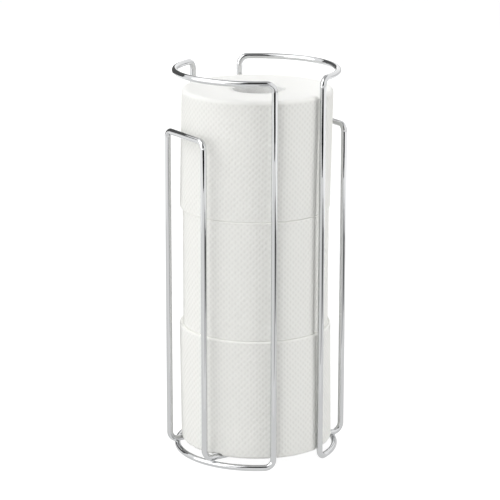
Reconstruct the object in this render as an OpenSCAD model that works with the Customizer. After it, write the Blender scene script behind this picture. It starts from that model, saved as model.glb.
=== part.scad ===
// A chrome wire stand that stores three toilet rolls in a column.
// Z points up. The origin lies on the floor, on the axis of the column of rolls.
// The cradle's floor wires run along X. The open gaps between the hoops face -Y and +Y.

/* [Wire] */
// Diameter of the round wire that every loop is bent from
wire_d = 5; // [3:0.5:7]

/* [Hoops] */
// Half the angle of the open gap between the two hoops, seen from above
gap_angle = 20; // [14:1:35]
// Height of the hoops above the top roll
head_room = 17.1; // [8:0.1:60]
// Centreline radius of the bends between the hoops' arcs and uprights
hoop_bend_r = 7; // [5:0.5:12]

/* [Cradle] */
// Distance between the two floor wires, centre to centre
cradle_w = 56; // [40:1:70]
// Distance from the top of the cradle's bars up to the top of the hoops
cradle_drop = 47.7; // [20:0.1:150]
// Centreline radius of the bends from the floor wires up into the legs
low_bend_r = 7.5; // [5:0.5:12]
// Centreline radius of the bends between the legs and the top bars
top_bend_r = 6; // [4:0.5:10]

/* [Welds] */
// Gap between two wires where they cross, which the weld fills
weld_gap = 0.3; // [0.2:0.1:0.8]
// Width of each weld
weld_d = 4.8; // [4:0.1:5.6]

/* [Rolls] */
// Height of every roll
roll_h = 98; // [80:1:115]
// Diameter of the bottom roll under its loose sheet
bottom_roll_d = 125.4; // [100:0.1:126]
// Diameter of the middle roll under its loose sheet
middle_roll_d = 119.8; // [100:0.1:126]
// Diameter of the top roll under its loose sheet
top_roll_d = 123.2; // [100:0.1:126]
// Inner diameter of the cardboard cores
core_d = 41; // [36:0.5:48]
// Thickness of the cardboard
core_wall = 0.9; // [0.6:0.1:1.5]
// Glue line between a core and the first turn of paper
glue_gap = 0.1; // [0.05:0.01:0.3]
// Rounding of the rolls' soft rims
rim_r = 4; // [1:0.5:8]
// Step at the free edge of the loose sheet
sheet_step = 0.4; // [0.2:0.1:1]
// Direction in which the free edges face, seen from above
tail_angle = -71; // [-90:1:-50]

/* [Fits] */
// Clearance between the largest roll and the hoops
roll_clear = 0.4; // [0.4:0.1:8]
// Clearance under each roll, where it rests
seat_gap = 0.3; // [0.2:0.1:0.6]

/* [Hidden] */
$fn = 96;

// Lengths are kept to a whole micron, so that the stretches of wire meet exactly.
function micron(x) = round(x * 1000) / 1000;

// The round of the stand is worked out from the largest roll that it takes.
largest_roll_d = max(bottom_roll_d, middle_roll_d, top_roll_d);
ring_r = micron(largest_roll_d / 2 + sheet_step + roll_clear + wire_d / 2);

// The hoops' arcs stop short of the gap, where a bend turns each end up into its upright.
hoop_bend = micron(hoop_bend_r);
arc_half_angle = 90 - gap_angle - atan(hoop_bend / ring_r);

// The floor wires cross the hoops' base arcs at these places, and turn up just outside them.
low_bend = micron(low_bend_r);
top_bend = micron(top_bend_r);
cross_y = micron(cradle_w / 2);
cross_x = micron(sqrt(pow(ring_r, 2) - pow(cross_y, 2)));
leg_x = cross_x + low_bend;

// Heights of the wires' centrelines, and of the rolls' lower faces
base_z = micron(wire_d / 2);
floor_wire_z = micron(base_z + wire_d + weld_gap);
bottom_roll_z = floor_wire_z + wire_d / 2 + seat_gap;
middle_roll_z = bottom_roll_z + roll_h + seat_gap;
top_roll_z = middle_roll_z + roll_h + seat_gap;
stand_h = top_roll_z + roll_h + head_room;
top_arc_z = micron(stand_h - wire_d / 2);
bar_z = micron(stand_h - cradle_drop - wire_d / 2);

// The paper starts one glue line outside the core.
paper_r = core_d / 2 + core_wall + glue_gap;

// A straight wire that starts at the origin and runs up along Z
module straight(length) {
    cylinder(h = length, d = wire_d);
}

// A quarter bend that leaves the origin along +X and ends at [radius, 0, radius], going up
module quarter_bend(radius) {
    rotate([90, 0, 0])
        translate([0, radius, 0])
            rotate([0, 0, -90])
                rotate_extrude(angle = 90)
                    translate([radius, 0]) circle(d = wire_d);
}

// Its children, and their mirror image across the XZ plane
module both_y() {
    children();
    mirror([0, 1, 0]) children();
}

// Its children, and their mirror image across the YZ plane
module both_x() {
    children();
    mirror([1, 0, 0]) children();
}

// The back half of a hoop's base arc and its bend, turned so that the arc ends on the X axis
module half_arc() {
    overrun = 2;
    mirror([0, 1, 0])
        rotate_extrude(angle = arc_half_angle + overrun)
            translate([ring_r, 0]) circle(d = wire_d);
    translate([ring_r, 0, 0]) rotate([0, 0, 90]) quarter_bend(hoop_bend);
}

// The back half of the right hoop, cut off where the two halves meet
module half_hoop() {
    room = 2 * ring_r;
    intersection() {
        rotate([0, 0, arc_half_angle]) {
            translate([0, 0, base_z]) half_arc();
            translate([ring_r, hoop_bend, base_z + hoop_bend])
                straight(top_arc_z - base_z - 2 * hoop_bend);
            translate([0, 0, top_arc_z]) mirror([0, 0, 1]) half_arc();
        }
        translate([0, 0, -room]) cube([room, room, stand_h + 2 * room]);
    }
}

// One closed loop of wire: the base arc, two uprights and the top arc
module hoop() {
    both_y() half_hoop();
}

// The right end of the cradle, from the middle of the floor wires up over the top bar
module cradle_end() {
    both_y() {
        translate([0, cross_y, floor_wire_z]) rotate([0, 90, 0]) straight(cross_x);
        translate([cross_x, cross_y, floor_wire_z]) quarter_bend(low_bend);
        translate([leg_x, cross_y, floor_wire_z + low_bend])
            straight(bar_z - floor_wire_z - low_bend - top_bend);
        translate([leg_x, cross_y - top_bend, bar_z])
            rotate([0, 0, 90])
                mirror([0, 0, 1]) quarter_bend(top_bend);
        translate([leg_x, 0, bar_z]) rotate([-90, 0, 0]) straight(cross_y - top_bend);
    }
}

// The weld at the back right crossing: a bead cut by both of the wires that it joins
module weld() {
    difference() {
        translate([cross_x, cross_y, (base_z + floor_wire_z) / 2]) sphere(d = weld_d);
        translate([0, 0, base_z]) rotate_extrude() translate([ring_r, 0]) circle(d = wire_d);
        translate([0, cross_y, floor_wire_z]) rotate([0, 90, 0]) straight(cross_x);
        translate([cross_x, cross_y, floor_wire_z]) quarter_bend(low_bend);
    }
}

// Half of a roll's section: a slab from the axis out to the radius, with both rims rounded
module roll_section(radius) {
    square([radius - rim_r, roll_h]);
    translate([0, rim_r]) square([radius, roll_h - 2 * rim_r]);
    for (z = [rim_r, roll_h - rim_r])
        translate([radius - rim_r, z]) circle(r = rim_r);
}

// The wound paper of one roll. Its outline is two half rounds. The outer one leans out
// by the thickness of the loose sheet, so it ends in a step at the free edge.
module roll_paper(diameter) {
    radius = diameter / 2;
    lean = sheet_step / 2;
    difference() {
        rotate([0, 0, tail_angle]) {
            rotate_extrude(angle = 180) roll_section(radius);
            translate([lean, 0, 0])
                rotate([0, 0, 180])
                    rotate_extrude(angle = 180) roll_section(radius + lean);
        }
        translate([0, 0, -1]) cylinder(h = roll_h + 2, r = paper_r);
    }
}

// The cardboard tube that a roll is wound on
module roll_core() {
    difference() {
        cylinder(h = roll_h, d = core_d + 2 * core_wall);
        translate([0, 0, -1]) cylinder(h = roll_h + 2, d = core_d);
    }
}

module right_hoop() {
    color("silver") hoop();
}

module left_hoop() {
    color("silver") mirror([1, 0, 0]) hoop();
}

module cradle() {
    color("silver") both_x() cradle_end();
}

module back_right_weld() {
    color("lightgray") weld();
}

module front_right_weld() {
    color("lightgray") mirror([0, 1, 0]) weld();
}

module back_left_weld() {
    color("lightgray") mirror([1, 0, 0]) weld();
}

module front_left_weld() {
    color("lightgray") mirror([1, 0, 0]) mirror([0, 1, 0]) weld();
}

module bottom_roll_core() {
    color("tan") translate([0, 0, bottom_roll_z]) roll_core();
}

module bottom_roll_paper() {
    color("white") translate([0, 0, bottom_roll_z]) roll_paper(bottom_roll_d);
}

module middle_roll_core() {
    color("tan") translate([0, 0, middle_roll_z]) roll_core();
}

module middle_roll_paper() {
    color("white") translate([0, 0, middle_roll_z]) roll_paper(middle_roll_d);
}

module top_roll_core() {
    color("tan") translate([0, 0, top_roll_z]) roll_core();
}

module top_roll_paper() {
    color("white") translate([0, 0, top_roll_z]) roll_paper(top_roll_d);
}

left_hoop();
right_hoop();
cradle();
front_left_weld();
front_right_weld();
back_left_weld();
back_right_weld();
bottom_roll_core();
bottom_roll_paper();
middle_roll_core();
middle_roll_paper();
top_roll_core();
top_roll_paper();
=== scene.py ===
import math

import bpy
import numpy as np
from bpy.props import FloatProperty, FloatVectorProperty, IntProperty, PointerProperty
from mathutils import Matrix, Vector


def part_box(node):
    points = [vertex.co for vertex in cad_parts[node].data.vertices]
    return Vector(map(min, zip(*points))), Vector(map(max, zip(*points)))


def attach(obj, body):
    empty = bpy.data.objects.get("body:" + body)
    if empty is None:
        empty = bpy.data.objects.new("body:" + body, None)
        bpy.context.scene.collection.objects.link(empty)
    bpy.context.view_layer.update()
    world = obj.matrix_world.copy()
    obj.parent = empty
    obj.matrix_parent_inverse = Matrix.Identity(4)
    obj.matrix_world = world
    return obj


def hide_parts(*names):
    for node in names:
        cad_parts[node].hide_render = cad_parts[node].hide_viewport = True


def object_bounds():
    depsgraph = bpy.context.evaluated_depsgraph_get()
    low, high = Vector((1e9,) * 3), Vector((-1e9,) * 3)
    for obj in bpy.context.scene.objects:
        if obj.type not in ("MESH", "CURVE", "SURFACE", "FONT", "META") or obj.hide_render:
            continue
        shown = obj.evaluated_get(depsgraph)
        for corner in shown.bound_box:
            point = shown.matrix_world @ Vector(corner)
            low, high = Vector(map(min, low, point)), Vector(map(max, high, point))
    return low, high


# A chrome wire stand that stores three toilet rolls in a column, and the studio round it.
# The frame gives the place and size of every piece. Lengths are in metres.
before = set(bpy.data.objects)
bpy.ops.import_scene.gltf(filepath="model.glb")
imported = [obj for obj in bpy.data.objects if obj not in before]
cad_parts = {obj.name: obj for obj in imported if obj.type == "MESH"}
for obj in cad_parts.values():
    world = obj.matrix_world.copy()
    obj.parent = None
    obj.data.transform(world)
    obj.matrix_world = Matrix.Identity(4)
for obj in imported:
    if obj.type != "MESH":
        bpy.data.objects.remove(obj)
CAD_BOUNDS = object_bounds()

bl_info = {
    "name": "Toilet roll stand",
    "version": (1, 0, 0),
    "blender": (4, 5, 0),
    "location": "3D View > Sidebar > Stand",
    "description": "Makes a chrome wire stand with three toilet rolls, and a plain studio",
    "category": "Add Mesh",
}

ROLLS = ("bottom_roll", "middle_roll", "top_roll")
X_AXIS = Vector((1, 0, 0))
Y_AXIS = Vector((0, 1, 0))
Z_AXIS = Vector((0, 0, 1))


def linear(hex_colour):
    """An sRGB hex colour as linear red, green and blue."""
    channels = (int(hex_colour[i:i + 2], 16) / 255 for i in (1, 3, 5))
    return tuple(c / 12.92 if c <= 0.04045 else ((c + 0.055) / 1.055) ** 2.4 for c in channels)


class STAND_PG_wire(bpy.types.PropertyGroup):
    """Sizes of the bent wire"""

    diameter: FloatProperty(
        name="Wire diameter", description="Diameter of the round wire",
        default=0.005, min=0.002, max=0.01, unit="LENGTH")
    hoop_bend: FloatProperty(
        name="Hoop bend", description="Centreline radius of the bends at the hoops' corners",
        default=0.007, min=0.004, max=0.015, unit="LENGTH")
    bar_bend: FloatProperty(
        name="Bar bend", description="Centreline radius of the bends beside the cradle's bars",
        default=0.006, min=0.004, max=0.015, unit="LENGTH")
    sides: IntProperty(
        name="Sides", description="Points round the wire's section",
        default=40, min=12, max=96)


class STAND_PG_rolls(bpy.types.PropertyGroup):
    """Sizes of the paper and the cores"""

    rim_depth: FloatProperty(
        name="Rim depth", description="How far a roll's soft rims draw in",
        default=0.0028, min=0.001, max=0.008, unit="LENGTH")
    rim_height: FloatProperty(
        name="Rim height", description="How far down the side the soft rims reach",
        default=0.004, min=0.001, max=0.008, unit="LENGTH")
    swell: FloatProperty(
        name="Swell", description="How far a roll's ends swell out",
        default=0.00012, min=0.0, max=0.00015, unit="LENGTH")
    dish: FloatProperty(
        name="Dish", description="How far the top roll's upper end sinks towards its core",
        default=0.0012, min=0.0, max=0.003, unit="LENGTH")
    dot_pitch: FloatProperty(
        name="Dot pitch", description="Distance between embossed dots along a row",
        default=0.005, min=0.002, max=0.01, unit="LENGTH")
    dot_depth: FloatProperty(
        name="Dot depth", description="Depth of the embossed dots",
        default=0.0004, min=0.0, max=0.001, unit="LENGTH")
    sheet: FloatProperty(
        name="Sheet", description="Thickness of the embossed sheet",
        default=0.0002, min=0.0001, max=0.001, unit="LENGTH")
    tail_length: FloatProperty(
        name="Loose length", description="Length of the loose end of the sheet",
        default=0.04, min=0.01, max=0.1, unit="LENGTH")
    tail_lift: FloatProperty(
        name="Lift", description="How far the free edge stands off the roll",
        default=0.0003, min=0.0, max=0.002, unit="LENGTH")
    tail_angle: FloatProperty(
        name="Free edge", description="Direction of the free edges, seen from above",
        default=math.radians(-71), min=-math.pi, max=math.pi, subtype="ANGLE")
    sag: FloatProperty(
        name="Sag", description="How far the bottom roll sags between the floor wires",
        default=0.0016, min=0.0, max=0.004, unit="LENGTH")
    board: FloatProperty(
        name="Board", description="Thickness of the cores' board",
        default=0.0009, min=0.0003, max=0.003, unit="LENGTH")
    seam_rise: FloatProperty(
        name="Seam rise", description="Height that a core's seam climbs in one turn",
        default=0.091, min=0.02, max=0.3, unit="LENGTH")


class STAND_PG_colours(bpy.types.PropertyGroup):
    """Colours of the finishes"""

    chrome: FloatVectorProperty(
        name="Chrome", description="Colour of the plated wire",
        subtype="COLOR", min=0, max=1, default=linear("#CFD0D1"))
    tissue: FloatVectorProperty(
        name="Tissue", description="Colour of the paper",
        subtype="COLOR", min=0, max=1, default=linear("#F7F7F3"))
    # Painted shade: the paper is painted darker in the embossed dots, for the shade that falls in
    # the dents.
    tissue_dent: FloatVectorProperty(
        name="Embossed dots", description="Colour of the paper in the embossed dots",
        subtype="COLOR", min=0, max=1, default=linear("#EEEEEA"))
    board: FloatVectorProperty(
        name="Board", description="Colour of the cardboard cores",
        subtype="COLOR", min=0, max=1, default=linear("#FAFAF9"))
    board_fleck: FloatVectorProperty(
        name="Board flecks", description="Colour of the darker fibres in the cardboard",
        subtype="COLOR", min=0, max=1, default=linear("#EAEAE8"))


def add_node(tree, kind, inputs=None, **settings):
    """Adds a shader node, with its settings, and with its inputs set or linked."""
    node = tree.nodes.new(kind)
    for name, value in settings.items():
        setattr(node, name, value)
    for name, value in (inputs or {}).items():
        if isinstance(value, bpy.types.NodeSocket):
            tree.links.new(value, node.inputs[name])
        else:
            node.inputs[name].default_value = value
    return node


def new_material(name):
    """A material with an empty node tree."""
    material = bpy.data.materials.new(name)
    material.use_nodes = True
    material.node_tree.nodes.clear()
    return material


def opaque(colour):
    """A colour with an alpha of 1."""
    return (*colour, 1)


def chrome_material(colours):
    """Chrome-plated steel wire: a mirror, with the faint waves that drawing and plating leave."""
    material = new_material("chrome_plated_wire")
    tree = material.node_tree
    place = add_node(tree, "ShaderNodeTexCoord").outputs["Object"]
    # The plating hazes in patches of about 6 mm.
    haze = add_node(tree, "ShaderNodeTexNoise", {
        "Vector": place, "Scale": 1 / 0.006, "Detail": 3})
    roughness = add_node(tree, "ShaderNodeMapRange", {
        "Value": haze.outputs["Fac"], "To Min": 0.02, "To Max": 0.04})
    # The drawn wire is a few microns out of true every 9 mm.
    wave = add_node(tree, "ShaderNodeTexNoise", {
        "Vector": place, "Scale": 1 / 0.009, "Detail": 1})
    bump = add_node(tree, "ShaderNodeBump", {
        "Height": wave.outputs["Fac"], "Strength": 0.25, "Distance": 0.0001})
    shader = add_node(tree, "ShaderNodeBsdfPrincipled", {
        "Base Color": opaque(colours.chrome), "Metallic": 1.0,
        "Roughness": roughness.outputs["Result"], "Normal": bump.outputs["Normal"]})
    add_node(tree, "ShaderNodeOutputMaterial", {"Surface": shader.outputs["BSDF"]})
    return material


def weld_material(colours):
    """The same plating over a weld bead, which is a little rougher than the wire."""
    material = new_material("chrome_plated_weld")
    tree = material.node_tree
    place = add_node(tree, "ShaderNodeTexCoord").outputs["Object"]
    # Spatter and ripples of about half a millimetre show through the plating.
    ripple = add_node(tree, "ShaderNodeTexNoise", {
        "Vector": place, "Scale": 1 / 0.0005, "Detail": 2})
    bump = add_node(tree, "ShaderNodeBump", {
        "Height": ripple.outputs["Fac"], "Strength": 0.35, "Distance": 0.0001})
    shader = add_node(tree, "ShaderNodeBsdfPrincipled", {
        "Base Color": opaque(colours.chrome), "Metallic": 1.0, "Roughness": 0.2,
        "Normal": bump.outputs["Normal"]})
    add_node(tree, "ShaderNodeOutputMaterial", {"Surface": shader.outputs["BSDF"]})
    return material


def tissue_material(colours):
    """Creped and embossed tissue: dead matt, with dots pressed in and painted darker as painted
    shade in the dents, and turns showing on the ends.

    Light seeps in between the turns round the upper end of the top roll."""
    material = new_material("embossed_tissue")
    tree = material.node_tree
    place = add_node(tree, "ShaderNodeTexCoord").outputs["Object"]
    along = add_node(tree, "ShaderNodeUVMap", uv_map="sheet").outputs["UV"]
    # The dent mask sets both the dots' real relief and their painted shade.
    dent = add_node(tree, "ShaderNodeAttribute", attribute_name="dent").outputs["Fac"]
    end_face = add_node(tree, "ShaderNodeAttribute", attribute_name="end_face").outputs["Fac"]
    seep = add_node(tree, "ShaderNodeAttribute", attribute_name="seep").outputs["Fac"]

    # Creping leaves fine ridges across the sheet, about 0.4 mm apart and 3 mm long.
    ridges = add_node(tree, "ShaderNodeMapping", {
        "Vector": along, "Scale": (1 / 0.0004, 1 / 0.003, 1)})
    crepe = add_node(tree, "ShaderNodeTexNoise", {
        "Vector": ridges.outputs["Vector"], "Scale": 1.0, "Detail": 2})
    # Fibres cloud the sheet in flecks of about 1.5 mm.
    fibre = add_node(tree, "ShaderNodeTexNoise", {
        "Vector": place, "Scale": 1 / 0.0015, "Detail": 4})
    # The turns are 0.25 mm apart, too fine to show, so the ends are drawn with one in four.
    flat = add_node(tree, "ShaderNodeVectorMath", {0: place, 1: (1, 1, 0)}, operation="MULTIPLY")
    reach = add_node(tree, "ShaderNodeVectorMath", {0: flat.outputs["Vector"]}, operation="LENGTH")
    turn = add_node(tree, "ShaderNodeMath", {
        0: reach.outputs["Value"], 1: math.tau / 0.001}, operation="MULTIPLY")
    unrest = add_node(tree, "ShaderNodeMath", {
        0: fibre.outputs["Fac"], 1: 5.0, 2: turn.outputs["Value"]}, operation="MULTIPLY_ADD")
    layers = add_node(tree, "ShaderNodeMath", {0: unrest.outputs["Value"]}, operation="SINE")
    layer_mask = add_node(tree, "ShaderNodeMath", {
        0: layers.outputs["Value"], 1: end_face}, operation="MULTIPLY")

    # The dots are painted darker than the paper: painted shade in the dents, on top of their real
    # relief.
    pressed = add_node(tree, "ShaderNodeMix", {
        "Factor": dent, "A": opaque(colours.tissue), "B": opaque(colours.tissue_dent)},
        data_type="RGBA")
    fleck = add_node(tree, "ShaderNodeMapRange", {
        "Value": fibre.outputs["Fac"], "To Min": 0.975, "To Max": 1.0})
    colour = add_node(tree, "ShaderNodeVectorMath", {
        0: pressed.outputs["Result"], "Scale": fleck.outputs["Result"]}, operation="SCALE")

    relief = add_node(tree, "ShaderNodeMath", {
        0: crepe.outputs["Fac"], 1: 0.6, 2: fibre.outputs["Fac"]}, operation="MULTIPLY_ADD")
    height = add_node(tree, "ShaderNodeMath", {
        0: layer_mask.outputs["Value"], 1: 0.35, 2: relief.outputs["Value"]},
        operation="MULTIPLY_ADD")
    bump = add_node(tree, "ShaderNodeBump", {
        "Height": height.outputs["Value"], "Strength": 0.3, "Distance": 0.0002})
    shader = add_node(tree, "ShaderNodeBsdfPrincipled", {
        "Base Color": colour.outputs["Vector"], "Roughness": 0.95, "Specular IOR Level": 0.2,
        "Subsurface Weight": seep, "Subsurface Radius": (1, 1, 1), "Subsurface Scale": 0.006,
        "Normal": bump.outputs["Normal"]})
    add_node(tree, "ShaderNodeOutputMaterial", {"Surface": shader.outputs["BSDF"]})
    return material


def board_material(colours):
    """Pale recycled board, spirally wound: matt, with short darker fibres."""
    material = new_material("core_board")
    tree = material.node_tree
    place = add_node(tree, "ShaderNodeTexCoord").outputs["Object"]
    # The fibres are flecks of about 0.8 mm.
    fibre = add_node(tree, "ShaderNodeTexNoise", {
        "Vector": place, "Scale": 1 / 0.0008, "Detail": 5})
    amount = add_node(tree, "ShaderNodeMapRange", {
        "Value": fibre.outputs["Fac"], "From Min": 0.45, "From Max": 0.75})
    colour = add_node(tree, "ShaderNodeMix", {
        "Factor": amount.outputs["Result"],
        "A": opaque(colours.board), "B": opaque(colours.board_fleck)}, data_type="RGBA")
    bump = add_node(tree, "ShaderNodeBump", {
        "Height": fibre.outputs["Fac"], "Strength": 0.3, "Distance": 0.0001})
    shader = add_node(tree, "ShaderNodeBsdfPrincipled", {
        "Base Color": colour.outputs["Result"], "Roughness": 0.85, "Specular IOR Level": 0.3,
        "Normal": bump.outputs["Normal"]})
    add_node(tree, "ShaderNodeOutputMaterial", {"Surface": shader.outputs["BSDF"]})
    return material


def deselect_all():
    """Leaves nothing selected, so that an operator acts on the next piece alone."""
    bpy.ops.object.select_all(action="DESELECT")


def work_on(obj):
    """Selects one object alone and makes it the active one."""
    deselect_all()
    obj.select_set(True)
    bpy.context.view_layer.objects.active = obj


def finish_piece(obj, material, slot, body, *nodes):
    """Gives a finished piece its material, smooth shading and place in the frame."""
    work_on(obj)
    bpy.ops.object.shade_smooth()
    obj.data.materials.clear()
    obj.data.materials.append(material)
    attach(obj, body)
    if nodes:
        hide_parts(*nodes)


def material_once(name, make, colours):
    """The material of that name, made when it is first asked for."""
    return bpy.data.materials.get(name) or make(colours)


def apply_modifier(obj, kind, **settings):
    """Adds a modifier with its settings and applies it."""
    work_on(obj)
    modifier = obj.modifiers.new(kind.lower(), kind)
    for name, value in settings.items():
        setattr(modifier, name, value)
    bpy.ops.object.modifier_apply(modifier=modifier.name)


def close_mesh(obj):
    """Welds the points that lie on each other and turns the faces outwards."""
    work_on(obj)
    bpy.ops.object.mode_set(mode="EDIT")
    bpy.ops.mesh.select_all(action="SELECT")
    bpy.ops.mesh.remove_doubles(threshold=0.000005)
    bpy.ops.mesh.normals_make_consistent(inside=False)
    bpy.ops.object.mode_set(mode="OBJECT")


def copy_piece(obj, name):
    """A copy of a piece with a mesh of its own."""
    twin = obj.copy()
    twin.data = obj.data.copy()
    twin.name = name
    twin.data.name = name
    bpy.context.collection.objects.link(twin)
    return twin


# Stretches that a hoop's half arc and a tight quarter bend are made in
ARC_STEPS = 48
BEND_STEPS = 16


class Wire:
    """A length of wire that is bent as on a bench: straight runs and bends, one after another."""

    def __init__(self, name, place, heading, sizes):
        deselect_all()
        turn = heading.to_track_quat("Z", "X").to_euler()
        bpy.ops.mesh.primitive_circle_add(
            vertices=sizes.sides, radius=sizes.diameter / 2, fill_type="NOTHING",
            location=place, rotation=turn)
        self.obj = bpy.context.object
        self.obj.name = name
        self.obj.data.name = name
        bpy.ops.object.transform_apply(location=True, rotation=True, scale=True)
        bpy.ops.object.mode_set(mode="EDIT")
        bpy.ops.mesh.select_all(action="SELECT")
        self.place = Vector(place)
        self.heading = Vector(heading)

    def run(self, length):
        """A straight run."""
        step = self.heading * length
        bpy.ops.mesh.extrude_region_move(TRANSFORM_OT_translate={"value": step})
        self.place += step

    def bend(self, radius, towards, angle, steps):
        """A bend of that centreline radius towards a direction square to the heading."""
        centre = self.place + towards * radius
        axis = self.heading.cross(towards)
        # The spin operator turns the other way from a rotation matrix.
        bpy.ops.mesh.spin(steps=steps, angle=-angle, center=centre, axis=axis)
        turn = Matrix.Rotation(angle, 3, axis)
        self.place = centre + turn @ (self.place - centre)
        self.heading = turn @ self.heading

    def finish(self, mirror_x):
        """Mirrors the stretch into a closed loop, welds its seams and turns its faces out."""
        bpy.ops.object.mode_set(mode="OBJECT")
        apply_modifier(self.obj, "MIRROR", use_axis=(mirror_x, True, False),
                       merge_threshold=0.00001)
        close_mesh(self.obj)
        return self.obj


class STAND_OT_hoops(bpy.types.Operator):
    """Bends the two hoops, each a closed loop with a base arc, two uprights and a top arc"""

    bl_idname = "stand.hoops"
    bl_label = "Hoops"

    def execute(self, context):
        sizes = context.scene.stand_wire
        wire_r = sizes.diameter / 2
        low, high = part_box("right_hoop")
        ring_r = high.x - wire_r
        base_z = low.z + wire_r
        top_z = high.z - wire_r
        # An upright stands where the arc's last bend leaves it, one bend radius past its end.
        upright = Vector((low.x + wire_r, high.y - wire_r, 0))
        arc_angle = math.atan2(upright.y, upright.x) - math.atan(sizes.hoop_bend / ring_r)

        wire = Wire("right_hoop_wire", Vector((ring_r, 0, base_z)), Y_AXIS, sizes)
        wire.bend(ring_r, -X_AXIS, arc_angle, ARC_STEPS)
        wire.bend(sizes.hoop_bend, Z_AXIS, math.pi / 2, BEND_STEPS)
        wire.run(top_z - base_z - 2 * sizes.hoop_bend)
        round_arc = Matrix.Rotation(arc_angle, 3, Z_AXIS)
        wire.bend(sizes.hoop_bend, round_arc @ -Y_AXIS, math.pi / 2, BEND_STEPS)
        wire.bend(ring_r, round_arc @ -X_AXIS, arc_angle, ARC_STEPS)
        right = wire.finish(mirror_x=False)

        left = copy_piece(right, "left_hoop_wire")
        left.data.transform(Matrix.Diagonal((-1, 1, 1, 1)))
        close_mesh(left)

        chrome = material_once("chrome_plated_wire", chrome_material, context.scene.stand_colours)
        finish_piece(right, chrome, "chrome_wire", "frame", "right_hoop")
        finish_piece(left, chrome, "chrome_wire", "frame", "left_hoop")
        return {"FINISHED"}


class STAND_OT_cradle(bpy.types.Operator):
    """Bends the cradle, one closed loop with two floor wires, four legs and two top bars"""

    bl_idname = "stand.cradle"
    bl_label = "Cradle"

    def execute(self, context):
        sizes = context.scene.stand_wire
        wire_r = sizes.diameter / 2
        low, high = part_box("cradle")
        ring_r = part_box("right_hoop")[1].x - wire_r
        floor_z = low.z + wire_r
        bar_z = high.z - wire_r
        leg = Vector((high.x - wire_r, high.y - wire_r, 0))
        # The floor wires turn up where they cross the hoops' base arcs.
        cross_x = math.sqrt(ring_r ** 2 - leg.y ** 2)
        leg_bend = leg.x - cross_x

        wire = Wire("cradle_wire", Vector((0, leg.y, floor_z)), X_AXIS, sizes)
        wire.run(cross_x)
        wire.bend(leg_bend, Z_AXIS, math.pi / 2, BEND_STEPS)
        wire.run(bar_z - floor_z - leg_bend - sizes.bar_bend)
        wire.bend(sizes.bar_bend, -Y_AXIS, math.pi / 2, BEND_STEPS)
        wire.run(leg.y - sizes.bar_bend)
        cradle = wire.finish(mirror_x=True)

        chrome = material_once("chrome_plated_wire", chrome_material, context.scene.stand_colours)
        finish_piece(cradle, chrome, "chrome_wire", "frame", "cradle")
        return {"FINISHED"}


# A weld's bead and the ball that cuts out the wires round it, as shares of the weld's width,
# and the bead's height as a share of its own width
BEAD_RADIUS = 0.36
BEAD_FLATNESS = 0.7
BALL_RADIUS = 0.85
# The grain that the weld is melted together in, and how often it is smoothed
WELD_GRAIN = 0.00018
WELD_SMOOTHING = 14


class STAND_OT_welds(bpy.types.Operator):
    """Welds the cradle to the hoops at their four crossings"""

    bl_idname = "stand.welds"
    bl_label = "Welds"

    def execute(self, context):
        first = self.fillet("back_right_weld")
        finish = material_once("chrome_plated_weld", weld_material, context.scene.stand_colours)
        for end, turn_y in (("back", 1), ("front", -1)):
            for side, turn_x in (("right", 1), ("left", -1)):
                node = f"{end}_{side}_weld"
                weld = copy_piece(first, f"{node}_fillet")
                weld.data.transform(Matrix.Diagonal((turn_x, turn_y, 1, 1)))
                close_mesh(weld)
                finish_piece(weld, finish, "weld_metal", "frame", node)
        bpy.data.objects.remove(first)
        return {"FINISHED"}

    @staticmethod
    def fillet(node):
        """The metal that flowed into the corners of one crossing, and the wire within it."""
        low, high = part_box(node)
        place = (low + high) / 2
        size = high.x - low.x
        wires = copy_piece(bpy.data.objects["right_hoop_wire"], "crossing")
        cradle = copy_piece(bpy.data.objects["cradle_wire"], "crossing_cradle")
        deselect_all()
        bpy.ops.mesh.primitive_uv_sphere_add(
            segments=32, ring_count=16, radius=size * BEAD_RADIUS,
            location=place, scale=(1, 1, BEAD_FLATNESS))
        bead = bpy.context.object
        bpy.ops.mesh.primitive_uv_sphere_add(
            segments=32, ring_count=16, radius=size * BALL_RADIUS, location=place)
        ball = bpy.context.object
        for stub in (wires, cradle):
            apply_modifier(stub, "BOOLEAN", object=ball, operation="INTERSECT", solver="EXACT")
        work_on(wires)
        cradle.select_set(True)
        bead.select_set(True)
        bpy.ops.object.join()
        # The corners fill up as the surface is smoothed, while the wires draw in out of sight.
        apply_modifier(wires, "REMESH", mode="VOXEL", voxel_size=WELD_GRAIN)
        apply_modifier(wires, "SMOOTH", factor=0.5, iterations=WELD_SMOOTHING)
        bpy.data.objects.remove(ball)
        return wires


# Where each roll's foot and head stand, off the axis: rolls are never stacked quite true.
LEAN = {
    ROLLS[0]: ((0.0003, -0.0002), (-0.0007, 0.0004)),
    ROLLS[1]: ((-0.0015, -0.0016), (-0.0015, -0.0016)),
    ROLLS[2]: ((-0.001, 0.0006), (0.0007, -0.0004)),
}
# How soft each roll's lower and upper rims are: the weight above presses them, and the middle
# roll is wound tighter.
RIM_SOFTNESS = {ROLLS[0]: (0.6, 0.5), ROLLS[1]: (0.25, 0.25), ROLLS[2]: (0.35, 1.0)}
# How far the outer turn climbs over the one below it, all the way round
WINDING_STEP = 0.00015
# Faces for each pitch of the embossed dots, round the roll and up its side
FACES_AROUND = 8
FACES_UP = 6
# Rows of faces on a roll's end and on its rim
END_ROWS = 14
RIM_ROWS = 6
# How far down from its upper end light seeps into the top roll
SEEP_REACH = 0.007
# Half the width of the groove that a floor wire presses into the bottom roll
WIRE_GROOVE = 0.0025
# Height up to which the sag pulls the bottom roll down
SAG_REACH = 0.03
# How far out from the core the ends reach their full swell
SWELL_REACH = 0.004
# The loose sheet covers what faces outwards by at least this share, and lies this far off the
# roll. Its teeth are a share of a face deep. Its lift dies away over a length from the free
# edge, and at its other end, over a share of its length, it sinks this deep into the roll.
SHEET_COVER = 0.45
SHEET_CLEARANCE = 0.00005
TOOTH = 0.3
LIFT_REACH = 0.005
SINK_SHARE = 0.2
SINK_DEPTH = 0.0004
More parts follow.
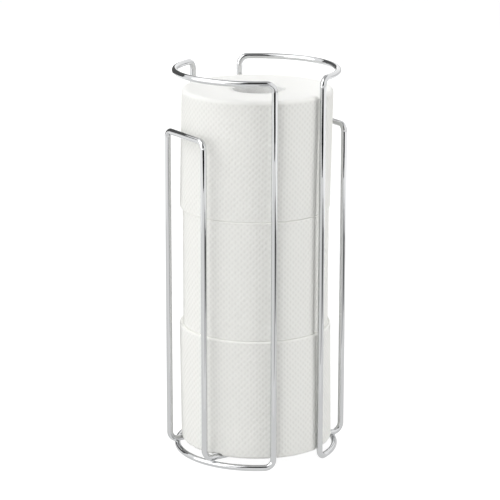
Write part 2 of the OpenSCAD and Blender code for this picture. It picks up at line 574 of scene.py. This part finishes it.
# The groove along a core's seam: depth, width, and the cosine of the angle that it climbs at
SEAM_DEPTH = 0.0002
SEAM_WIDTH = 0.0008
SEAM_COSINE = 0.8
# Rows of faces in half a core's bore and on its edge, and faces round it
BORE_ROWS = 40
EDGE_ROWS = 6
CORE_FACES = 120


def leaning(roll, share):
    """How far a roll stands from the stand's axis, at a share of its height."""
    foot, head = (np.array(place) for place in LEAN[roll])
    return foot + np.outer(share, head - foot)


def dish(roll, sizes):
    """How far a roll's upper end sinks towards its core: only the top roll has room for it."""
    return sizes.dish if roll == ROLLS[-1] else 0


def rim_rows(depth, height):
    """A soft rim from an end to the side: how far in and how far along, and where it faces."""
    turn = np.linspace(0, math.pi / 2, RIM_ROWS + 1)[:-1]
    out, up = np.sin(turn), np.cos(turn)
    return np.array((depth * (1 - out), height * (1 - up), out, up))


class RollShape:
    """The measures of one roll's paper, and its section in rows from the bore round to the bore."""

    def __init__(self, roll, sizes):
        low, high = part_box(f"{roll}_paper")
        self.roll = roll
        self.foot = low.z
        self.height = high.z - low.z
        self.radius = -low.x
        self.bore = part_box(f"{roll}_core")[1].x
        self.sizes = sizes
        self.sag = sizes.sag if roll == ROLLS[0] else 0
        soft_foot, soft_head = RIM_SOFTNESS[roll]
        self.foot_rim = soft_foot * sizes.rim_height
        self.head_rim = soft_head * sizes.rim_height
        side_height = self.height - self.foot_rim - self.head_rim
        self.around = round(math.tau * self.radius / sizes.dot_pitch)
        self.upwards = round(side_height / sizes.dot_pitch)
        self.face = math.tau * self.radius / (self.around * FACES_AROUND)

        foot_in, foot_up, foot_out, foot_down = rim_rows(soft_foot * sizes.rim_depth, self.foot_rim)
        head_in, head_down, head_out, head_up = rim_rows(soft_head * sizes.rim_depth, self.head_rim)
        foot_reach = np.linspace(self.bore, self.radius - foot_in[0], END_ROWS + 1)[:-1]
        head_reach = np.linspace(self.bore, self.radius - head_in[0], END_ROWS + 1)[:-1]
        side = np.linspace(self.foot_rim, self.height - self.head_rim, self.upwards * FACES_UP + 1)
        end = np.ones(END_ROWS)
        self.radii = np.concatenate((
            foot_reach, self.radius - foot_in, np.full(side.size, self.radius),
            (self.radius - head_in)[::-1], head_reach[::-1]))
        self.heights = np.concatenate((
            0 * end, foot_up, side, (self.height - head_down)[::-1], self.height * end))
        self.out = np.concatenate((0 * end, foot_out, np.ones(side.size), head_out[::-1], 0 * end))
        self.up = np.concatenate((-end, -foot_down, np.zeros(side.size), head_up[::-1], end))
        # The ends swell a little towards the roll above and the roll below.
        off_core = np.clip((self.radii - self.bore) / SWELL_REACH, 0, 1)
        self.heights += sizes.swell * self.up * off_core
        inwards = 1 - (self.radii - self.bore) / (self.radius - self.bore)
        self.heights -= dish(roll, sizes) * np.clip(inwards, 0, 1) ** 2 * (self.up > 0.999)

    def dots(self, along, height, side):
        """How deep the embossing is pressed: dots in diagonal rows, 1 at the middle of a dot. The
        same mask paints the paper darker in the dots, as painted shade.
        """
        u = math.tau * along * self.around / (math.tau * self.radius)
        v = math.tau * (height - self.foot_rim) * self.upwards
        v = v / (self.height - self.foot_rim - self.head_rim)
        # The rows that rise to the right are pressed a little deeper than the others, and so are
        # also painted a little darker through the dots' colour: painted shade for light falling
        # from the upper left.
        wave = 0.6 * np.cos(u + v) + 0.4 * np.cos(u - v) + 0.35 * np.cos(2 * u)
        return (wave + 0.65) / 2 * (side > 0.999)

    def points(self, angle, reach, rise):
        """Points of the roll, whose foot sags beside the floor wires that it rests on."""
        x, y = leaning(self.roll, rise / self.height).T + reach * (np.cos(angle), np.sin(angle))
        off_wire = np.abs(np.abs(y) - (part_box("cradle")[1].y - WIRE_GROOVE))
        free = np.clip((off_wire - WIRE_GROOVE) / WIRE_GROOVE, 0, 1)
        foot = np.clip(1 - rise / SAG_REACH, 0, 1) ** 2
        return np.column_stack((x, y, self.foot + rise - self.sag * free * foot))


def grid_piece(name, columns, rows):
    """A flat grid of that many faces each way, with the column and the row of each point."""
    deselect_all()
    bpy.ops.mesh.primitive_grid_add(x_subdivisions=columns, y_subdivisions=rows, size=1)
    obj = bpy.context.object
    obj.name = name
    obj.data.name = name
    points = np.empty(len(obj.data.vertices) * 3, np.float32)
    obj.data.vertices.foreach_get("co", points)
    points = points.reshape(-1, 3)
    column = np.rint((points[:, 0] + 0.5) * columns).astype(int)
    row = np.rint((points[:, 1] + 0.5) * rows).astype(int)
    return obj, column, row


def set_points(obj, points):
    """Moves the points of a piece to their places."""
    obj.data.vertices.foreach_set("co", points.astype(np.float32).ravel())
    obj.data.update()


def set_shade_data(obj, along, height, **masks):
    """Lays the sheet's UV map, in metres, and the masks that the tissue reads."""
    layer = obj.data.uv_layers[0]
    layer.name = "sheet"
    corner = np.empty(len(obj.data.loops), np.int32)
    obj.data.loops.foreach_get("vertex_index", corner)
    uv = np.column_stack((along, height))[corner]
    layer.data.foreach_set("uv", uv.astype(np.float32).ravel())
    for name, values in masks.items():
        mask = obj.data.attributes.new(name, "FLOAT", "POINT")
        mask.data.foreach_set("value", values.astype(np.float32))


class STAND_OT_tissue(bpy.types.Operator):
    """Winds the three rolls of tissue and lays a loose end of the sheet on each"""

    bl_idname = "stand.tissue"
    bl_label = "Tissue"

    def execute(self, context):
        sizes = context.scene.stand_rolls
        finish = tissue_material(context.scene.stand_colours)
        for roll in ROLLS:
            shape = RollShape(roll, sizes)
            winding = self.winding(f"{roll}_tissue", shape, sizes)
            finish_piece(winding, finish, "tissue_paper", roll, f"{roll}_paper")
            tail = self.tail(f"{roll}_loose_sheet", shape, sizes)
            finish_piece(tail, finish, "tissue_paper", roll)
        return {"FINISHED"}

    @staticmethod
    def winding(name, shape, sizes):
        """The wound paper, whose outer turn climbs a little towards the free edge."""
        columns = shape.around * FACES_AROUND
        radii, heights, out, up = shape.radii, shape.heights, shape.out, shape.up
        obj, column, row = grid_piece(name, columns, len(radii))
        # The row after the last lies on the first, which closes the section along the bore.
        row = row % len(radii)
        turned = column / columns
        angle = sizes.tail_angle - math.tau * turned
        climb = np.where(column == 0, -1.0, -turned) * WINDING_STEP
        along = turned * math.tau * shape.radius
        dent = shape.dots(along, heights[row], out[row])
        reach = radii[row] + out[row] * (climb - dent * sizes.dot_depth)
        set_points(obj, shape.points(angle, reach, heights[row]))
        # Only the top roll's upper end is open to the light.
        lit = shape.roll == ROLLS[-1]
        seep = lit * np.clip(1 - (shape.height - heights[row]) / SEEP_REACH, 0, 1) ** 2
        set_shade_data(obj, along, heights[row], dent=dent, seep=seep,
                       end_face=np.abs(up[row]) > 0.999)
        close_mesh(obj)
        return obj

    @staticmethod
    def tail(name, shape, sizes):
        """The loose end of the sheet: it leaves the roll, follows it and ends in a free edge."""
        radii, heights, out, up = shape.radii, shape.heights, shape.out, shape.up
        # The sheet covers the side and most of both rims.
        kept = np.flatnonzero(out > SHEET_COVER)
        columns = round(sizes.tail_length / shape.face)
        obj, column, row = grid_piece(name, columns, len(kept) - 1)
        row = kept[row]
        along = column * shape.face
        # The perforations leave small teeth along the free edge.
        teeth = np.where((column == 0) & (row % 4 < 2), TOOTH, 0.0) * shape.face
        angle = sizes.tail_angle - (along + teeth) / shape.radius
        dent = shape.dots(along, heights[row], out[row])
        # Near the free edge the sheet lifts, and at its other end it sinks into the roll.
        lift = sizes.tail_lift * np.exp(-along / LIFT_REACH)
        sunk = (along / sizes.tail_length - (1 - SINK_SHARE)) / SINK_SHARE
        sink = np.clip(sunk, 0, 1) ** 2
        stand_off = SHEET_CLEARANCE + lift - sink * (sizes.sheet + SINK_DEPTH)
        reach = radii[row] + out[row] * (stand_off - dent * sizes.dot_depth)
        set_points(obj, shape.points(angle, reach, heights[row] + up[row] * stand_off))
        set_shade_data(obj, along, heights[row], dent=dent, seep=0 * along, end_face=0 * along)
        close_mesh(obj)
        apply_modifier(obj, "SOLIDIFY", thickness=sizes.sheet, offset=1)
        return obj


class STAND_OT_cores(bpy.types.Operator):
    """Winds the three cardboard cores, with the spiral seam of the board"""

    bl_idname = "stand.cores"
    bl_label = "Cores"

    def execute(self, context):
        sizes = context.scene.stand_rolls
        finish = board_material(context.scene.stand_colours)
        for roll in ROLLS:
            node = f"{roll}_core"
            obj = self.core(roll, *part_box(node), sizes)
            finish_piece(obj, finish, "core_board", roll, node)
        return {"FINISHED"}

    @staticmethod
    def core(roll, low, high, sizes):
        """A tube of board. Its bore has a shallow groove along the spiral seam."""
        height = high.z - low.z - dish(roll, sizes)
        middle = high.x - sizes.board / 2
        half = sizes.board / 2
        # From the middle of the bore down over the soft lower edge to the middle of the outside
        bore = np.linspace(height / 2, half, BORE_ROWS + 1)[:-1]
        edge = np.linspace(math.pi, math.tau, EDGE_ROWS + 1)
        side = np.concatenate((np.full(bore.size, middle - half), middle + half * np.cos(edge)))
        rise = np.concatenate((bore, half + half * np.sin(edge)))
        radii = np.concatenate((side, side[::-1]))
        heights = np.concatenate((rise, height - rise[::-1]))
        inner = radii < middle
        obj, column, row = grid_piece(f"{roll}_board_core", CORE_FACES, len(radii))
        row = row % len(radii)
        angle = math.tau * column / CORE_FACES
        off_seam = (angle / math.tau - heights[row] / sizes.seam_rise) % 1
        off_seam = np.minimum(off_seam, 1 - off_seam) * sizes.seam_rise * SEAM_COSINE
        groove = SEAM_DEPTH * np.exp(-(off_seam / SEAM_WIDTH) ** 2) * inner[row]
        reach = radii[row] + groove
        x, y = leaning(roll, heights[row] / height).T + reach * (np.cos(angle), np.sin(angle))
        set_points(obj, np.column_stack((x, y, low.z + heights[row])))
        close_mesh(obj)
        return obj


# The photograph's camera: it looks over the stand's front left side and down a little.
SENSOR_WIDTH = 36
CAMERA_AZIMUTH = math.radians(-32.43)
CAMERA_DISTANCE = 1.752
CAMERA_HEIGHT = 0.6301
CAMERA_TILT = math.radians(14.746)
CAMERA_TURN = math.radians(-0.168)
CAMERA_ROLL = math.radians(0.088)
CAMERA_LENS = 158.1


def add_camera():
    """The camera at the photograph's viewpoint."""
    back = Vector((math.sin(CAMERA_AZIMUTH), -math.cos(CAMERA_AZIMUTH), 0))
    turn = Matrix.Rotation(-CAMERA_TURN, 3, Z_AXIS)
    level = turn @ -back
    right = level.cross(Z_AXIS)
    forward = level * math.cos(CAMERA_TILT) - Z_AXIS * math.sin(CAMERA_TILT)
    above = right.cross(forward)
    lean = Matrix.Rotation(-CAMERA_ROLL, 3, forward)
    axes = Matrix((lean @ right, lean @ above, -forward)).transposed()
    data = bpy.data.cameras.new("photograph_camera")
    data.lens = CAMERA_LENS
    data.sensor_width = SENSOR_WIDTH
    data.clip_end = 50
    camera = bpy.data.objects.new("photograph_camera", data)
    bpy.context.collection.objects.link(camera)
    place = back * CAMERA_DISTANCE + Z_AXIS * CAMERA_HEIGHT
    camera.matrix_world = Matrix.Translation(place) @ axes.to_4x4()
    bpy.context.scene.camera = camera


# The soft lights: the direction in degrees (0 is in front of the stand and 90 on its right), the
# distance and height, the size, the power, and whether the chrome mirrors it. The last one stands
# behind the stand as the camera sees it, and lights only its back.
LIGHTS = (
    ("left_softbox", -92, 1.6, 1.1, 2.8, 34.4, True),
    ("right_softbox", 48, 1.55, 0.55, 0.8, 9.5, False),
    ("top_softbox", -20, 0.25, 1.9, 1.2, 12.4, False),
    ("back_softbox", 148, 2.2, 0.3, 0.9, 17, False),
)


def add_light(target, name, azimuth, distance, height, size, power, mirrored):
    """A square soft light round the stand, facing a target."""
    turn = math.radians(azimuth)
    place = Vector((math.sin(turn) * distance, -math.cos(turn) * distance, height))
    data = bpy.data.lights.new(name, "AREA")
    data.shape = "SQUARE"
    data.size = size
    data.energy = power
    light = bpy.data.objects.new(name, data)
    bpy.context.collection.objects.link(light)
    light.location = place
    light.rotation_euler = (target - place).to_track_quat("-Z", "Y").to_euler()
    light.visible_glossy = mirrored


# Painted reflections: glowing cards that only the wires mirror, besides the white all round,
# standing in for the room, the floor and the floor's shadow. They stand or lie square to the view.
# Each has its middle (ahead towards the camera, aside to its right, height), its width, its
# height or depth, and its brightness.
CARDS = (
    ("front_room", "STANDS", (1.28, 0, 1.4), 1.0, 1.9, 0.02),
    ("front_left_room", "STANDS", (1.4, -0.85, 1.3), 0.9, 2.0, 0.5),
    ("front_dark_floor", "LIES", (1.7, -0.1, 0.003), 1.9, 1.0, 0.02),
    ("front_floor", "LIES", (0.7, -0.05, 0.001), 1.6, 1.0, 1.0),
    ("near_floor", "LIES", (0.63, 0.375, 0.002), 0.69, 0.7, 0.58),
    ("near_shadow", "LIES", (0.45, 0.6, 0.003), 0.4, 0.55, 0.0),
    ("right_floor", "LIES", (0.3, 1.5, 0.002), 1.5, 2.2, 1.35),
    ("left_floor", "LIES", (0.2, -1.6, 0.002), 1.6, 2.6, 1.25),
    ("back_floor", "LIES", (-1.1, 0, 0.002), 1.6, 1.6, 1.2),
    ("back_room", "STANDS", (-1.31, -1.45, 0.6), 2.6, 1.6, 0.12),
    ("back_right_room", "STANDS", (-1.6, 1.4, 0.25), 2.8, 0.5, 0.78),
    ("ceiling", "LIES", (0, 0.2, 2.3), 2.2, 2.6, 0.5),
)


def add_card(name, pose, middle, width, height, level):
    """A glowing card of one even brightness that only the chrome shows: a painted reflection. It
    shades nothing.
    """
    deselect_all()
    square = Matrix.Rotation(CAMERA_AZIMUTH, 3, Z_AXIS)
    place = square @ Vector((middle[1], -middle[0], middle[2]))
    turn = (math.pi / 2 if pose == "STANDS" else 0, 0, CAMERA_AZIMUTH)
    bpy.ops.mesh.primitive_plane_add(size=1, location=place, rotation=turn)
    card = bpy.context.object
    card.name = name
    card.scale = (width, height, 1)
    bpy.ops.object.transform_apply(location=True, rotation=True, scale=True)
    material = new_material(f"{name}_painted_reflection_card")
    tree = material.node_tree
    # The card glows though it is no lamp, to paint a dark or bright reflection into the chrome.
    glow = add_node(tree, "ShaderNodeEmission", {"Color": (1, 1, 1, 1), "Strength": level})
    add_node(tree, "ShaderNodeOutputMaterial", {"Surface": glow.outputs["Emission"]})
    card.data.materials.append(material)
    card.visible_camera = False
    card.visible_diffuse = False
    card.visible_shadow = False


# How much of the floor's look is its glow, and how strong that is in the chrome and to the camera
GLOW_SHARE = 0.8
GLOW_MIRRORED = 0.88
GLOW_SEEN = 1.18
# How strong the world lights the stand, and how bright it shows behind it
WORLD_LIGHT = 0.256
WORLD_SEEN = 1.15
# The floor lies just under the stand, and reaches well past all that the cameras see.
FLOOR_GAP = 0.0002
FLOOR_RADIUS = 12


def white_seen_as_white(tree):
    """1 where a ray comes from the camera, a mirror or glass, and 0 for the object's light."""
    path = add_node(tree, "ShaderNodeLightPath")
    mirrored = add_node(tree, "ShaderNodeMath", {
        0: path.outputs["Is Camera Ray"], 1: path.outputs["Is Glossy Ray"]}, operation="MAXIMUM")
    return add_node(tree, "ShaderNodeMath", {
        0: mirrored.outputs["Value"], 1: path.outputs["Is Transmission Ray"]},
        operation="MAXIMUM").outputs["Value"]


def floor_material():
    """White card: mostly shown as pure white, so that only a trace of the shadow is left."""
    material = new_material("white_card_floor")
    tree = material.node_tree
    seen = white_seen_as_white(tree)
    share = add_node(tree, "ShaderNodeMath", {0: seen, 1: GLOW_SHARE}, operation="MULTIPLY")
    colour = add_node(tree, "ShaderNodeMix", {
        "Factor": seen, "A": opaque(linear("#DCDCDC")), "B": (1, 1, 1, 1)}, data_type="RGBA")
    card = add_node(tree, "ShaderNodeBsdfDiffuse", {"Color": colour.outputs["Result"]})
    # The floor that the wires mirror is a little darker than the one that the camera sees.
    path = add_node(tree, "ShaderNodeLightPath")
    strength = add_node(tree, "ShaderNodeMapRange", {
        "Value": path.outputs["Is Camera Ray"], "To Min": GLOW_MIRRORED, "To Max": GLOW_SEEN})
    glow = add_node(tree, "ShaderNodeEmission", {
        "Color": (1, 1, 1, 1), "Strength": strength.outputs["Result"]})
    mixed = add_node(tree, "ShaderNodeMixShader", {
        0: share.outputs["Value"], 1: card.outputs["BSDF"], 2: glow.outputs["Emission"]})
    add_node(tree, "ShaderNodeOutputMaterial", {"Surface": mixed.outputs["Shader"]})
    return material


class STAND_OT_studio(bpy.types.Operator):
    """Sets up the floor, the lights, the cards and the camera"""

    bl_idname = "stand.studio"
    bl_label = "Studio"

    def execute(self, context):
        deselect_all()
        bpy.ops.mesh.primitive_circle_add(
            vertices=96, radius=FLOOR_RADIUS, fill_type="NGON",
            location=(0, 0, CAD_BOUNDS[0].z - FLOOR_GAP))
        floor = context.object
        floor.name = "studio_floor"
        floor.data.materials.append(floor_material())

        world = bpy.data.worlds.new("studio_world")
        context.scene.world = world
        world.use_nodes = True
        tree = world.node_tree
        tree.nodes.clear()
        seen = white_seen_as_white(tree)
        level = add_node(tree, "ShaderNodeMapRange", {
            "Value": seen, "To Min": WORLD_LIGHT, "To Max": WORLD_SEEN})
        sky = add_node(tree, "ShaderNodeBackground", {
            "Color": (1, 1, 1, 1), "Strength": level.outputs["Result"]})
        add_node(tree, "ShaderNodeOutputWorld", {"Surface": sky.outputs["Background"]})

        middle = Vector((0, 0, (CAD_BOUNDS[0].z + CAD_BOUNDS[1].z) / 2))
        for light in LIGHTS:
            add_light(middle, *light)
        for card in CARDS:
            add_card(*card)
        add_camera()
        context.scene.view_settings.view_transform = "Standard"
        return {"FINISHED"}


class STAND_PT_panel(bpy.types.Panel):
    """Lists the stand's sizes, colours and pieces in the sidebar"""

    bl_label = "Toilet roll stand"
    bl_space_type = "VIEW_3D"
    bl_region_type = "UI"
    bl_category = "Stand"

    def draw(self, context):
        scene = context.scene
        for group in (scene.stand_wire, scene.stand_rolls, scene.stand_colours):
            box = self.layout.box()
            for name in group.__annotations__:
                box.prop(group, name)
        for operator in OPERATORS:
            self.layout.operator(operator.bl_idname)


GROUPS = {
    "stand_wire": STAND_PG_wire,
    "stand_rolls": STAND_PG_rolls,
    "stand_colours": STAND_PG_colours,
}
OPERATORS = (
    STAND_OT_hoops,
    STAND_OT_cradle,
    STAND_OT_welds,
    STAND_OT_tissue,
    STAND_OT_cores,
    STAND_OT_studio,
)


def register():
    """Registers the classes and lays their sizes and colours on the scene."""
    for cls in (*GROUPS.values(), *OPERATORS, STAND_PT_panel):
        bpy.utils.register_class(cls)
    for name, group in GROUPS.items():
        setattr(bpy.types.Scene, name, PointerProperty(type=group))


def unregister():
    """Takes the classes and their sizes and colours away again."""
    for name in GROUPS:
        delattr(bpy.types.Scene, name)
    for cls in reversed((*GROUPS.values(), *OPERATORS, STAND_PT_panel)):
        bpy.utils.unregister_class(cls)


def main():
    """Makes the stand and its studio."""
    register()
    bpy.ops.stand.hoops()
    bpy.ops.stand.cradle()
    bpy.ops.stand.welds()
    bpy.ops.stand.tissue()
    bpy.ops.stand.cores()
    bpy.ops.stand.studio()


if __name__ == "__main__":
    main()
